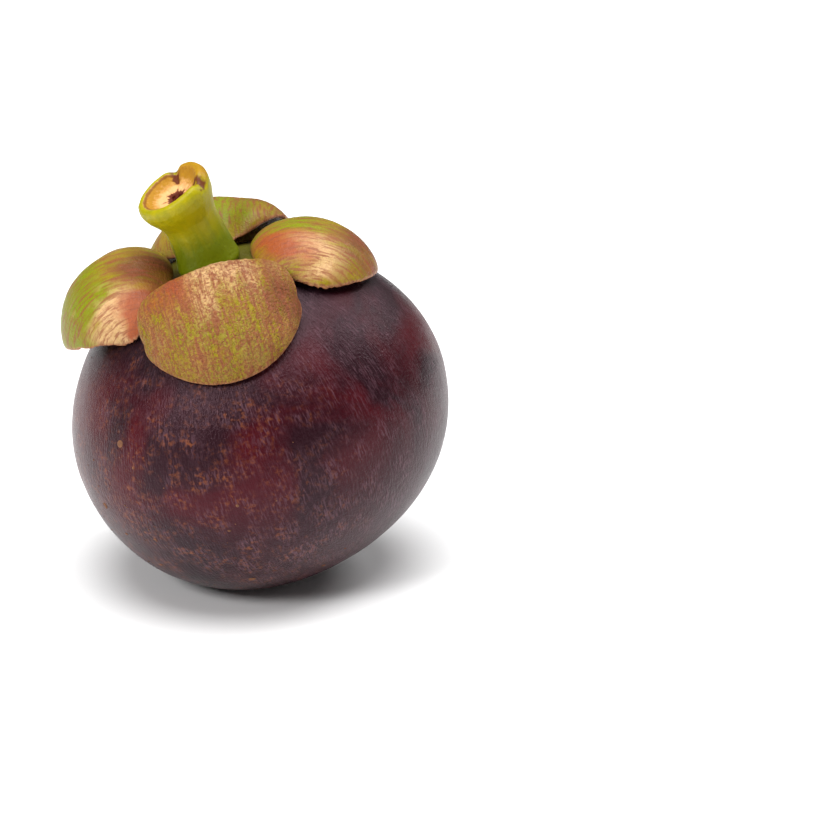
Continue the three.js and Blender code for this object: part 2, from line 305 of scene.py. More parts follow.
def new_tree(name, sockets):
    """Starts a geometry tree with named inputs, given as (name, kind)."""
    tree = bpy.data.node_groups.new(name, "GeometryNodeTree")
    for label, kind in sockets:
        tree.interface.new_socket(name=label, in_out="INPUT", socket_type=kind)
    tree.interface.new_socket(name="Geometry", in_out="OUTPUT", socket_type="NodeSocketGeometry")
    source = tree.nodes.new("NodeGroupInput")
    return tree, {socket.name: socket for socket in source.outputs if socket.name}


def run_tree(name, tree, mesh, inputs):
    """Runs a geometry tree over a mesh and returns the result as a plain object."""
    holder = bpy.data.objects.new(name, mesh)
    bpy.context.scene.collection.objects.link(holder)
    modifier = holder.modifiers.new(tree.name, "NODES")
    modifier.node_group = tree
    for item in tree.interface.items_tree:
        if item.in_out == "INPUT" and item.name in inputs:
            modifier[item.identifier] = inputs[item.name]
    holder.update_tag()
    evaluated = holder.evaluated_get(bpy.context.evaluated_depsgraph_get())
    result = bpy.data.meshes.new_from_object(evaluated)
    holder.modifiers.clear()
    holder.data = result
    result.name = name
    result.polygons.foreach_set("use_smooth", [True] * len(result.polygons))
    return holder


def new_material(name):
    """Starts a material and returns it with its tree and its shader."""
    material = bpy.data.materials.new(name)
    material.use_nodes = True
    return material, material.node_tree, material.node_tree.nodes["Principled BSDF"]


# ---- The fruit's shape ------------------------------------------------------------------------

def rind_radius(polar, azimuth):
    """Distance in millimetres from the fruit's centre to the rind in a direction."""
    rind = bpy.context.scene.mangosteen.rind
    s, c = np.sin(polar), np.cos(polar)
    topness = 0.5 + 0.5 * np.tanh(3 * c)
    shape = rind.ratio_bottom + (rind.ratio_top - rind.ratio_bottom) * topness
    power = rind.fullness_bottom + (rind.fullness_top - rind.fullness_bottom) * topness
    shell = np.abs(s) ** power + (np.abs(c) / shape) ** power
    lobe = rind.lobe_height * np.cos(3 * (azimuth - rind.lobe_azimuth)) * s * s
    radius = rind.equator_radius / MM * shell ** (-1 / power) * (1 + lobe)
    depth = np.where(c > 0, rind.top_dimple, rind.bottom_dent) / MM
    return radius - depth * np.exp(-2 * (radius * s / (rind.dimple_radius / MM)) ** 2)


def rest_on_rind(points, gap=CONTACT_GAP):
    """Lifts points that would sink into the rind until they lie on it."""
    reach = np.linalg.norm(points, axis=1)
    polar = np.arccos(np.clip(points[:, 2] / reach, -1, 1))
    surface = rind_radius(polar, np.arctan2(points[:, 1], points[:, 0])) + gap
    return points * (np.maximum(reach, surface) / reach)[:, None]


# ---- Rind -------------------------------------------------------------------------------------

SCUFFED_SIDE = (-0.55, -0.75, -0.35)

# The rind's rule as steps of arithmetic: result, operation, inputs. Lengths are in metres.
RIND_RULE = (
    ("polar", "ARCCOSINE", "z"), ("azimuth", "ARCTAN2", "y", "x"), ("s", "SINE", "polar"),
    ("c", "COSINE", "polar"), ("3c", "MULTIPLY", "c", 3.0), ("turned", "TANH", "3c"),
    ("topness", "MULTIPLY_ADD", "turned", 0.5, 0.5),
    ("ratio_step", "SUBTRACT", "Top ratio", "Bottom ratio"),
    ("ratio", "MULTIPLY_ADD", "ratio_step", "topness", "Bottom ratio"),
    ("power_step", "SUBTRACT", "Top fullness", "Bottom fullness"),
    ("power", "MULTIPLY_ADD", "power_step", "topness", "Bottom fullness"),
    ("abs_s", "ABSOLUTE", "s"), ("abs_c", "ABSOLUTE", "c"), ("tall", "DIVIDE", "abs_c", "ratio"),
    ("s_part", "POWER", "abs_s", "power"), ("c_part", "POWER", "tall", "power"),
    ("shell", "ADD", "s_part", "c_part"), ("root", "DIVIDE", -1.0, "power"),
    ("ball", "POWER", "shell", "root"), ("from_lobe", "SUBTRACT", "azimuth", "Lobe direction"),
    ("three_times", "MULTIPLY", "from_lobe", 3.0), ("wave", "COSINE", "three_times"),
    ("s2", "MULTIPLY", "s", "s"), ("wave_s2", "MULTIPLY", "wave", "s2"),
    ("lobed", "MULTIPLY_ADD", "wave_s2", "Lobe height", 1.0),
    ("sized", "MULTIPLY", "ball", "Equator radius"), ("radius", "MULTIPLY", "sized", "lobed"),
    ("off_axis", "MULTIPLY", "radius", "s"), ("near", "DIVIDE", "off_axis", "Dimple radius"),
    ("near2", "MULTIPLY", "near", "near"), ("fade", "MULTIPLY", "near2", -2.0),
    ("hollow", "EXPONENT", "fade"), ("is_top", "GREATER_THAN", "c", 0.0),
    ("depth_step", "SUBTRACT", "Top dimple", "Bottom dent"),
    ("depth", "MULTIPLY_ADD", "depth_step", "is_top", "Bottom dent"),
    ("sunk", "MULTIPLY", "hollow", "depth"), ("dimpled", "SUBTRACT", "radius", "sunk"),
    ("dents", "MULTIPLY", "Dents", "Unevenness"), ("final", "SUBTRACT", "dimpled", "dents"),
)


def rind_tree():
    """Geometry tree for the rind: a squashed ball with three faint corners, flat underneath."""
    lengths = ("Equator radius", "Top ratio", "Bottom ratio", "Top fullness", "Bottom fullness",
               "Lobe height", "Lobe direction", "Top dimple", "Bottom dent", "Dimple radius",
               "Unevenness")
    sockets = [("Around", "NodeSocketInt"), ("Rings", "NodeSocketInt"),
               ("Lean front", "NodeSocketFloat"), ("Lean left", "NodeSocketFloat"),
               ("Centre", "NodeSocketVector"), ("Material", "NodeSocketMaterial")]
    tree, given = new_tree("rind_shape", sockets + [(name, "NodeSocketFloat") for name in lengths])
    ball = add(tree, "GeometryNodeMeshUVSphere",
               {"Segments": given["Around"], "Rings": given["Rings"], "Radius": 1.0})
    direction = add(tree, "ShaderNodeVectorMath", {0: add(tree, "GeometryNodeInputPosition")},
                    operation="NORMALIZE")
    parts = add(tree, "ShaderNodeSeparateXYZ", {0: direction})
    broad = add(tree, "ShaderNodeTexNoise", {"Vector": direction, "Scale": 3.2, "Detail": 2.0})
    values = {**given, "x": parts.outputs[0], "y": parts.outputs[1], "z": parts.outputs[2],
              "Dents": broad.outputs[0]}
    for result, operation, *inputs in RIND_RULE:
        feeds = {i: values.get(value, value) for i, value in enumerate(inputs)}
        values[result] = add(tree, "ShaderNodeMath", feeds, operation=operation)
    placed = add(tree, "ShaderNodeVectorMath", {0: direction, "Scale": values["final"]},
                 operation="SCALE")
    grown = add(tree, "GeometryNodeSetPosition", {"Geometry": ball, "Position": placed})
    around_axis = add(tree, "ShaderNodeCombineXYZ", {0: parts.outputs[0], 1: parts.outputs[1]})
    unit_around = add(tree, "ShaderNodeVectorMath", {0: around_axis}, operation="NORMALIZE")
    unit_parts = add(tree, "ShaderNodeSeparateXYZ", {0: unit_around})
    meridian = add(tree, "ShaderNodeCombineXYZ",
                   {0: unit_parts.outputs[0], 1: unit_parts.outputs[1], 2: values["polar"]})
    stored = add(tree, "GeometryNodeStoreNamedAttribute",
                 {"Geometry": grown, "Name": "meridian", "Value": meridian},
                 data_type="FLOAT_VECTOR", domain="POINT")
    front_turn = add(tree, "ShaderNodeCombineXYZ", {0: given["Lean front"]})
    leant = add(tree, "GeometryNodeTransform", {"Geometry": stored, "Rotation": front_turn})
    left_turn = add(tree, "ShaderNodeCombineXYZ", {1: given["Lean left"]})
    lying = add(tree, "GeometryNodeTransform",
                {"Geometry": leant, "Translation": given["Centre"], "Rotation": left_turn})
    where = add(tree, "ShaderNodeSeparateXYZ", {0: add(tree, "GeometryNodeInputPosition")})
    above = add(tree, "ShaderNodeMath", {0: where.outputs[2], 1: 0.0}, operation="MAXIMUM")
    flat = add(tree, "ShaderNodeCombineXYZ", {0: where.outputs[0], 1: where.outputs[1], 2: above})
    rested = add(tree, "GeometryNodeSetPosition", {"Geometry": lying, "Position": flat})
    real = add(tree, "GeometryNodeRealizeInstances", {"Geometry": rested})
    painted = add(tree, "GeometryNodeSetMaterial",
                  {"Geometry": real, "Material": given["Material"]})
    add(tree, "NodeGroupOutput", {0: painted})
    return tree


def rind_material(rind):
    """Ripe mangosteen rind, grown: a dense leathery skin under a thin natural wax.

    The wax gives broad soft highlights, broken by fine wrinkles that run from stalk to stigma.
    """
    material, tree, shader = new_material("ripe_rind_grown_waxy")
    place = add(tree, "ShaderNodeTexCoord").outputs["Object"]
    meridian = add(tree, "ShaderNodeAttribute", attribute_name="meridian").outputs["Vector"]
    polar = add(tree, "ShaderNodeSeparateXYZ", {0: meridian}).outputs[2]
    # Grain: flecks 0.3 mm wide and 1.4 mm long. One turn of the equator is 188 mm.
    stretched = add(tree, "ShaderNodeMapping", {"Vector": meridian, "Scale": (110, 110, 22)})
    streaks = add(tree, "ShaderNodeTexNoise",
                  {"Vector": stretched, "Scale": 1.0, "Detail": 4.0, "Distortion": 0.5})
    patches = add(tree, "ShaderNodeTexNoise",
                  {"Vector": place, "Scale": 70.0, "Detail": 5.0, "Distortion": 0.6})
    mottling = add(tree, "ShaderNodeTexNoise", {"Vector": place, "Scale": 300.0, "Detail": 6.0})
    band = add(tree, "ShaderNodeMapRange", {"Value": polar, "From Min": 0.7, "From Max": 1.05},
               interpolation_type="SMOOTHSTEP")
    below = add(tree, "ShaderNodeMapRange",
                {"Value": polar, "From Min": 1.35, "From Max": 1.9, "To Min": 1.0, "To Max": 0.25},
                interpolation_type="SMOOTHSTEP")
    red_patch = add(tree, "ShaderNodeMapRange",
                    {"Value": patches, "From Min": 0.4, "From Max": 0.6, "To Min": 0.1})
    belt = add(tree, "ShaderNodeMath", {0: band, 1: below}, operation="MULTIPLY")
    redness = add(tree, "ShaderNodeMath", {0: belt, 1: red_patch}, operation="MULTIPLY")
    skin = add(tree, "ShaderNodeMix", {0: redness, 6: rgba(rind.purple), 7: rgba(rind.maroon)},
               data_type="RGBA")
    # Greyer towards the bottom: the flecks grow there as painted reflection of the floor; the
    # lowest amount is the rind's own bloom.
    bloom_and_painted_reflection = add(tree, "ShaderNodeMapRange",
                   {"Value": polar, "From Min": 1.4, "From Max": 2.1, "To Min": 0.35,
                    "To Max": 0.7})
    streaky = add(tree, "ShaderNodeMapRange",
                  {"Value": streaks, "From Min": 0.47, "From Max": 0.62})
    blotchy = add(tree, "ShaderNodeMapRange",
                  {"Value": mottling, "From Min": 0.4, "From Max": 0.62, "To Min": 0.15})
    flecked = add(tree, "ShaderNodeMath", {0: streaky, 1: blotchy}, operation="MULTIPLY")
    dull = add(tree, "ShaderNodeMath", {0: bloom_and_painted_reflection, 1: flecked}, operation="MULTIPLY")
    bloomed_and_reflecting = add(tree, "ShaderNodeMix",
                  {0: dull, 6: skin.outputs[2], 7: rgba(rind.bloom_and_reflection)}, data_type="RGBA")
    # Stippling: corky dots about 0.7 mm apart, in clumps, on the side that rubbed on the branch.
    dots = add(tree, "ShaderNodeTexNoise", {"Vector": place, "Scale": 1500.0, "Detail": 2.0})
    dot_mask = add(tree, "ShaderNodeMapRange", {"Value": dots, "From Min": 0.5, "From Max": 0.75})
    outward = add(tree, "ShaderNodeVectorMath", {0: place, 1: tuple(CENTRE)},
                  operation="SUBTRACT")
    facing = add(tree, "ShaderNodeVectorMath", {0: outward, 1: SCUFFED_SIDE},
                 operation="DOT_PRODUCT")
    scuffed_side = add(tree, "ShaderNodeMapRange",
                       {"Value": facing.outputs["Value"], "From Min": 0.004, "From Max": 0.026})
    scuffed = add(tree, "ShaderNodeMapRange",
                  {"Value": mottling, "From Min": 0.4, "From Max": 0.62, "To Max": 0.9})
    scuffs = add(tree, "ShaderNodeMath", {0: dot_mask, 1: scuffed}, operation="MULTIPLY")
    stipple = add(tree, "ShaderNodeMath", {0: scuffs, 1: scuffed_side}, operation="MULTIPLY")
    rusted = add(tree, "ShaderNodeMix",
                 {0: stipple, 6: bloomed_and_reflecting.outputs[2], 7: rgba(rind.rust)}, data_type="RGBA")
    near_stalk = add(tree, "ShaderNodeMapRange",
                     {"Value": polar, "From Min": 0.3, "From Max": 0.42, "To Min": 0.95,
                      "To Max": 0.0})
    scarred = add(tree, "ShaderNodeMix",
                  {0: near_stalk, 6: rusted.outputs[2], 7: rgba(rind.scar)}, data_type="RGBA")
    tree.links.new(scarred.outputs[2], shader.inputs["Base Color"])
    gloss = add(tree, "ShaderNodeMapRange", {"Value": mottling, "To Min": 0.22, "To Max": 0.42})
    tree.links.new(gloss.outputs[0], shader.inputs["Roughness"])
    # Wrinkles 0.4 mm apart, finer than the mesh; the streaks give a grain along the fruit.
    wrinkles = add(tree, "ShaderNodeTexNoise",
                   {"Vector": place, "Scale": 2300.0, "Detail": 2.0, "Distortion": 1.0})
    grain = add(tree, "ShaderNodeBump",
                {"Height": streaks, "Strength": 1.0, "Distance": 0.0001})
    bump = add(tree, "ShaderNodeBump",
               {"Height": wrinkles, "Strength": 1.0, "Distance": 0.00008, "Normal": grain})
    tree.links.new(bump.outputs[0], shader.inputs["Normal"])
    shader.inputs["IOR"].default_value = TISSUE_IOR
    shader.inputs["Specular IOR Level"].default_value = 0.36
    shader.inputs["Specular Tint"].default_value = rgba(rind.gloss)
    return material


class MANGOSTEEN_OT_rind(bpy.types.Operator):
    """Make the rind, flat where the fruit rests."""
    bl_idname = "mangosteen.rind"
    bl_label = "Rind"

    def execute(self, context):
        rind = context.scene.mangosteen.rind
        inputs = {
            "Around": rind.around, "Rings": rind.rings, "Equator radius": rind.equator_radius,
            "Top ratio": rind.ratio_top, "Bottom ratio": rind.ratio_bottom,
            "Top fullness": rind.fullness_top, "Bottom fullness": rind.fullness_bottom,
            "Lobe height": rind.lobe_height, "Lobe direction": rind.lobe_azimuth,
            "Top dimple": rind.top_dimple, "Bottom dent": rind.bottom_dent,
            "Dimple radius": rind.dimple_radius, "Unevenness": rind.unevenness,
            "Lean front": math.radians(LEAN_FRONT), "Lean left": math.radians(-LEAN_LEFT),
            "Centre": tuple(CENTRE), "Material": rind_material(rind)}
        piece = run_tree("rind", rind_tree(), bpy.data.meshes.new("rind_seed"), inputs)
        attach(piece, BODY)
        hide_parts("fruit_body")
        return {"FINISHED"}


# ---- Sepals -----------------------------------------------------------------------------------

def midrib(sepal):
    """The midrib's distance out from the fruit's axis, its height and its pitch."""
    stride = sepal["length"] / MIDRIB_STEPS
    turn = np.linspace(0, 1, MIDRIB_STEPS + 1) ** SEPAL_CURL
    pitch = np.radians(sepal["base_pitch"] + (sepal["tip_pitch"] - sepal["base_pitch"]) * turn)
    out = sepal["base_radius"] + stride * np.concatenate([[0], np.cumsum(np.cos(pitch))[:-1]])
    height = SEPAL_BASE_HEIGHT + stride * np.concatenate([[0], np.cumsum(np.sin(pitch))[:-1]])
    return out, height, pitch


def patch(u, v, centre, wide=0.4, tall=0.22):
    """How strong a colour is at each place on the blade: 1 at its centre, fading outwards."""
    return np.exp(-(((u - centre[0]) / wide) ** 2 + ((v - centre[1]) / tall) ** 2))


def sepal_shape(sepal, calyx):
    """Points of one sepal in the fruit's frame, in millimetres, and its attributes."""
    polar, azimuth = ball_angles(calyx.rings, calyx.around)
    rho = np.sin(polar) ** RIM_CROWDING
    face = np.where(np.cos(polar) >= 0, 1.0, -1.0)
    c, s = -np.cos(azimuth), np.sin(azimuth)
    power = np.where(s < 0, SEPAL_BASE_SQUARE, SEPAL_TIP_SQUARE)
    edge = (np.abs(c) ** power + np.abs(s) ** power) ** (-1 / power)
    around_rim = np.stack([c, s, np.zeros_like(c)], axis=1)
    ragged = (lumps(around_rim, 0.12, sepal["seed"])
              + 0.6 * lumps(around_rim, 0.05, sepal["seed"] + 9))
    edge = edge * (1 - sepal["fray"] * (1 + ragged) * rho ** 4)
    along = 0.5 * (1 + rho * edge * s)
    narrow = 1 - SEPAL_BASE_NARROW * (1 - along) ** 2
    width = sepal["half_width"]
    u = rho * edge * c
    across = width * u * narrow + sepal["skew"] * (2 * along - 1)
    at = np.clip(along, 0, 1) * MIDRIB_STEPS
    steps = np.arange(MIDRIB_STEPS + 1)
    rib_out, rib_height, pitch = (np.interp(at, steps, row) for row in midrib(sepal))
    base_cup = sepal["base_cup"]
    cupping = (base_cup + (1 - base_cup) * np.minimum(2 * along, 1)) / sepal["cup"]
    bend = across * cupping

    blade = np.stack([across, along * sepal["length"], face * FACES_APART], axis=1)
    inside = 1 - rho ** RIM_ROUNDING
    creases = lumps(blade, CREASE_SPACING, sepal["seed"])
    pebbles = lumps(blade, PEBBLE_SPACING, sepal["seed"] + 3)
    swells = lumps(blade, SWELL_SPACING, sepal["seed"] + 5)
    valley_place, valley_depth = sepal["valley"]
    beside = np.abs(u - valley_place)
    fold = np.exp(-(beside / 0.2) ** 2) - 0.35 * np.exp(-((beside - 0.42) / 0.2) ** 2)
    leathery = sepal["wrinkle"] * (CREASE_DEPTH * creases + PEBBLE_DEPTH * pebbles)
    relief = (leathery + SWELL_DEPTH * swells - RELIEF_SINK
              - valley_depth * fold * np.exp(-(along / 0.45) ** 2))
    lift = (0.5 * calyx.thickness / MM * face * np.sqrt(np.clip(inside, 0, 1))
            + relief * inside)

    sag = (np.cos(bend) - 1) / cupping + lift * np.cos(bend)
    side = np.sin(bend) / cupping + lift * np.sin(bend)
    out = rib_out - np.sin(pitch) * sag - sepal["base_radius"]
    up = rib_height + np.cos(pitch) * sag - SEPAL_BASE_HEIGHT
    roll, yaw, turn = (math.radians(a) for a in (SEPAL_ROLL, sepal["yaw"], sepal["azimuth"]))
    rolled_side = side * math.cos(roll) - up * math.sin(roll)
    rolled_up = side * math.sin(roll) + up * math.cos(roll)
    turned_out = out * math.cos(yaw) - rolled_side * math.sin(yaw) + sepal["base_radius"]
    turned_side = out * math.sin(yaw) + rolled_side * math.cos(yaw)
    points = np.stack([turned_out * math.cos(turn) - turned_side * math.sin(turn),
                       turned_out * math.sin(turn) + turned_side * math.cos(turn),
                       rolled_up + SEPAL_BASE_HEIGHT], axis=1)
    freshness = sepal["freshness"]
    smooth = 1 - 0.1 * sepal["wrinkle"]  # leathery skin shows less of the painted highlight and the blush
    drift = lumps(blade, (3, 8, 1), sepal["seed"] + 7)
    wavy_u, wavy_v = u + 0.3 * drift, along + 0.15 * swells
    attributes = {
        "blade": blade,
        "green": freshness * np.maximum(patch(wavy_u, wavy_v, sepal["green"], 0.5, 0.35), 0.3),
        # Painted highlight: pale cream on the outer face where the sepal catches the light.
        "painted_highlight": 0.9 * smooth * patch(wavy_u, wavy_v, sepal["painted_highlight"], 0.42, 0.2) * (face > 0),
        "blush": smooth * patch(wavy_u, wavy_v, sepal["blush"], 0.4, 0.2),
        "brown": 0.8 * patch(wavy_u, wavy_v, sepal["brown"], 0.45, 0.28),
        "rim": smoothstep(0.95, 0.995, rho + 0.02 * pebbles),
        "wrinkle": np.full_like(u, sepal["wrinkle"]),
    }
    return rest_on_rind(points), attributes


def calyx_material(calyx):
    """Mangosteen calyx, grown: thick leathery sepals with a satin, slightly waxy skin.

    The eye sees fine wrinkles, reddish veining drawn out towards the tip, and a thin dry rim.
    """
    material, tree, shader = new_material("calyx_leathery_grown")
    blade = add(tree, "ShaderNodeAttribute", attribute_name="blade").outputs["Vector"]
    masks = {name: add(tree, "ShaderNodeAttribute", attribute_name=name).outputs["Fac"]
             for name in ("green", "painted_highlight", "blush", "brown", "rim", "wrinkle")}
    # Clouding 5 mm across; streaks 2 mm wide and 10 mm long; veins 0.5 mm wide and 4 mm long.
    clouds = add(tree, "ShaderNodeTexNoise", {"Vector": blade, "Scale": 0.2, "Detail": 5.0})
    stretched = add(tree, "ShaderNodeMapping", {"Vector": blade, "Scale": (0.5, 0.1, 1)})
    streaks = add(tree, "ShaderNodeTexNoise",
                  {"Vector": stretched, "Scale": 1.0, "Detail": 5.0, "Distortion": 0.8})
    drawn_out = add(tree, "ShaderNodeMapping", {"Vector": blade, "Scale": (2.2, 0.25, 1)})
    veins = add(tree, "ShaderNodeTexNoise",
                {"Vector": drawn_out, "Scale": 1.0, "Detail": 4.0, "Distortion": 1.0})
    netting = add(tree, "ShaderNodeTexNoise",
                  {"Vector": blade, "Scale": 1.5, "Detail": 4.0, "Distortion": 1.5})
    uneven = add(tree, "ShaderNodeMath", {0: clouds, 1: streaks}, operation="ADD")
    tanned = add(tree, "ShaderNodeMapRange", {"Value": streaks, "From Min": 0.4, "From Max": 0.62})
    base = add(tree, "ShaderNodeMix", {0: tanned, 6: rgba(calyx.olive), 7: rgba(calyx.tan)},
               data_type="RGBA")
    coat = base.outputs[2]
    # The pale highlight mixed in here is painted light; green, blush and brown are the sepals' own
    # colours.
    for name in ("green", "painted_highlight", "blush", "brown"):
        broken = add(tree, "ShaderNodeMath", {0: masks[name], 1: uneven}, operation="ADD")
        amount = add(tree, "ShaderNodeMapRange",
                     {"Value": broken, "From Min": 1.15, "From Max": 1.75, "To Max": 0.9})
        mixed = add(tree, "ShaderNodeMix",
                    {0: amount, 6: coat, 7: rgba(getattr(calyx, name))}, data_type="RGBA")
        coat = mixed.outputs[2]
    vein_mask = add(tree, "ShaderNodeMapRange",
                    {"Value": veins, "From Min": 0.48, "From Max": 0.62, "To Max": 0.75})
    veined = add(tree, "ShaderNodeMix", {0: vein_mask, 6: coat, 7: rgba(calyx.vein)},
                 data_type="RGBA")
    net_edge = add(tree, "ShaderNodeMapRange",
                   {"Value": netting, "From Min": 0.46, "From Max": 0.58, "To Max": 0.75})
    net_mask = add(tree, "ShaderNodeMath", {0: net_edge, 1: masks["wrinkle"]},
                   operation="MULTIPLY")
    netted = add(tree, "ShaderNodeMix",
                 {0: net_mask, 6: veined.outputs[2], 7: rgba(calyx.vein)}, data_type="RGBA")
    dry_rim = add(tree, "ShaderNodeMix",
                  {0: vein_mask, 6: rgba(calyx.rim), 7: rgba(calyx.brown)}, data_type="RGBA")
    rimmed = add(tree, "ShaderNodeMix",
                 {0: masks["rim"], 6: netted.outputs[2], 7: dry_rim.outputs[2]},
                 data_type="RGBA")
    tree.links.new(rimmed.outputs[2], shader.inputs["Base Color"])
    gloss = add(tree, "ShaderNodeMapRange", {"Value": clouds, "To Min": 0.3, "To Max": 0.5})
    tree.links.new(gloss.outputs[0], shader.inputs["Roughness"])
    # Skin creases 0.5 mm apart, finer than the mesh carries.
    fine = add(tree, "ShaderNodeTexNoise",
               {"Vector": blade, "Scale": 2.0, "Detail": 3.0, "Distortion": 1.0})
    creased = add(tree, "ShaderNodeMath", {0: fine, 1: masks["wrinkle"]}, operation="MULTIPLY")
    bump = add(tree, "ShaderNodeBump", {"Height": creased, "Strength": 1.0, "Distance": 0.0005})
    tree.links.new(bump.outputs[0], shader.inputs["Normal"])
    shader.inputs["IOR"].default_value = TISSUE_IOR
    shader.inputs["Specular IOR Level"].default_value = 0.22
    shader.inputs["Subsurface Weight"].default_value = 0.06
    shader.inputs["Subsurface Radius"].default_value = (0.0012, 0.0008, 0.0003)
    return material


class MANGOSTEEN_OT_sepals(bpy.types.Operator):
    """Make the four sepals of the calyx."""
    bl_idname = "mangosteen.sepals"
    bl_label = "Sepals"

    def execute(self, context):
        calyx = context.scene.mangosteen.calyx
        material = calyx_material(calyx)
        faces = ball_faces(calyx.rings, calyx.around)
        for name, sepal in SEPALS.items():
            points, attributes = sepal_shape(sepal, calyx)
            piece = make_piece(f"{name}_leaf", to_row(points), faces, material, attributes)
            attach(piece, BODY)
            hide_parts(name)
        return {"FINISHED"}


# ---- Stalk ------------------------------------------------------------------------------------

STALK_BASE = (0.6, 0.0, 25.6)
STALK_BEND = 18
STALK_BEND_AZIMUTH = 212
CRATER_RADIUS = 4.2
CRATER_DEPTH = 1.7
PIT_RADIUS = 1.0
PIT_DEPTH = 1.6
KNOB_AZIMUTH = 27
KNOB_HALF_ANGLE = 53
KNOB_HEIGHT = 0.25
NOTCH_DEPTH = 0.6
NOTCH_ANGLE = 11
HEAD_START = 5.5
ROUNDING = 18  # steps over which the outline's corners are rounded


def stalk_outline(stalk):
    """Outline from the floor of the pit, over the rim and down to the foot, as radius, height."""
    rim, foot = stalk.height / MM, stalk.foot_radius / MM
    shaft, head = stalk.shaft_radius / MM, stalk.head_radius / MM
    pit_floor = rim - CRATER_DEPTH - PIT_DEPTH
    corners = np.array([
        (0, pit_floor), (PIT_RADIUS - 0.5, pit_floor + 0.15),
        (PIT_RADIUS - 0.1, rim - CRATER_DEPTH - 0.7), (PIT_RADIUS + 0.2, rim - CRATER_DEPTH),
        (PIT_RADIUS + 0.9, rim - CRATER_DEPTH + 0.1), (CRATER_RADIUS - 0.9, rim - 1.15),
        (CRATER_RADIUS - 0.1, rim - 0.5), (CRATER_RADIUS + 0.35, rim + 0.05),
        (head - 0.8, rim + 0.25), (head - 0.3, rim), (head, rim - 0.7), (head, rim - 1.5),
        (head - 0.4, rim - 2.8), (shaft + 0.6, rim - 4.1), (shaft + 0.1, rim - 5.2),
        (shaft - 0.05, rim - 6.5), (shaft, 5), (shaft + 0.3, 2.4), (foot, 0.8),
        (foot - 0.2, 0.2), (foot - 1, 0), (0, 0)])
    run = np.concatenate([[0], np.cumsum(np.linalg.norm(np.diff(corners, axis=0), axis=1))])
    even = np.linspace(0, run[-1], 4 * stalk.rings)
    outline = np.stack([np.interp(even, run, corners[:, 0]), np.interp(even, run, corners[:, 1])])
    weights = np.hanning(2 * ROUNDING + 1)
    weights /= weights.sum()
    padded = np.pad(outline, ((0, 0), (ROUNDING, ROUNDING)), mode="reflect", reflect_type="odd")
    rounded = np.stack([np.convolve(row, weights, mode="valid") for row in padded])
    pick = np.linspace(0, rounded.shape[1] - 1, stalk.rings + 2).astype(int)
    return np.maximum(rounded[0][pick], 0), rounded[1][pick]


def stalk_shape(stalk):
    """Points of the stalk in the fruit's frame, in millimetres, and its attributes."""
    radius_row, height_row = stalk_outline(stalk)
    around = stalk.around
    turn = np.linspace(0, FULL_TURN, around, endpoint=False)
    radius = np.concatenate([[0], np.repeat(radius_row[1:-1], around), [0]])
    height = np.concatenate([[height_row[0]], np.repeat(height_row[1:-1], around),
                             [height_row[-1]]])
    azimuth = np.concatenate([[0], np.tile(turn, stalk.rings), [0]])
    place = np.stack([radius * np.cos(azimuth), radius * np.sin(azimuth), height], axis=1)
    rim = stalk.height / MM
    from_knob = (azimuth - math.radians(KNOB_AZIMUTH) + math.pi) % FULL_TURN - math.pi
    head = smoothstep(rim - HEAD_START, rim - 1, height) * smoothstep(1.5, 3.5, radius)
    top = smoothstep(rim - 2.5, rim - 0.2, height) * smoothstep(2, 3.5, radius)
    knob = np.exp(-(from_knob / math.radians(KNOB_HALF_ANGLE - 7)) ** 4)
    beside = (np.abs(from_knob) - math.radians(KNOB_HALF_ANGLE)) / math.radians(NOTCH_ANGLE)
    notch = np.exp(-beside ** 2)
    crater = smoothstep(CRATER_RADIUS + 0.9, CRATER_RADIUS + 0.2, radius) * (height > rim - 4)
    ring = np.stack([np.cos(azimuth), np.sin(azimuth), np.zeros_like(azimuth)], axis=1)
    spokes = lumps(ring, 0.09, 6)
    ribs = lumps(np.stack([ring[:, 0] * 5, ring[:, 1] * 5, height * 0.12], axis=1), 1.1, 7)
    rough = lumps(place, 0.7, 8)
    lumpy = lumps(place, 2.6, 9)
    raised = (height + KNOB_HEIGHT * knob * head - NOTCH_DEPTH * notch * top
              + crater * smoothstep(0.8, 1.6, radius) * (0.1 * spokes + 0.12 * rough)
              - 0.15 * top * (1 - crater) * np.maximum(lumpy, 0))
    outside = (1 - crater) * smoothstep(0.3, 2.5, radius)
    pit_edge = np.exp(-((radius - PIT_RADIUS) / 0.7) ** 2) * crater
    spread = (radius - 0.5 * NOTCH_DEPTH * notch * top
              + outside * (0.07 * ribs - 0.1 * np.abs(lumpy)) + 0.35 * rough * pit_edge)
    spread = np.where(radius > 0, np.maximum(spread, 0.02), 0)
    bend_to = math.radians(STALK_BEND_AZIMUTH)
    curve = rim / math.radians(STALK_BEND)
    towards = spread * np.cos(azimuth - bend_to)
    beyond = spread * np.sin(azimuth - bend_to)
    angle = raised / curve
    leant = curve * (1 - np.cos(angle)) + towards * np.cos(angle)
    risen = curve * np.sin(angle) - towards * np.sin(angle)
    points = np.stack([leant * math.cos(bend_to) - beyond * math.sin(bend_to) + STALK_BASE[0],
                       leant * math.sin(bend_to) + beyond * math.cos(bend_to) + STALK_BASE[1],
                       risen + STALK_BASE[2]], axis=1)
    attributes = {
        "place": place,
        "low": smoothstep(9.5, 2.0, height),
        "cut": crater,
        "outer": crater * smoothstep(1.8, CRATER_RADIUS, radius),
        "crown": top * (1.2 + spokes) * np.exp(-((radius - CRATER_RADIUS - 0.35) / 0.22) ** 2),
        "knob": knob * smoothstep(rim - 2.0, rim - 0.6, height),
        "notch": (notch * smoothstep(rim - 1.6, rim - 0.7, height) * smoothstep(2.6, 3.6, radius)
                  * (1 + 0.9 * rough)),
        "pit": crater * smoothstep(PIT_RADIUS + 1.2, PIT_RADIUS,
                                   radius + 0.8 * rough + 0.8 * spokes),
    }
    return points, attributes


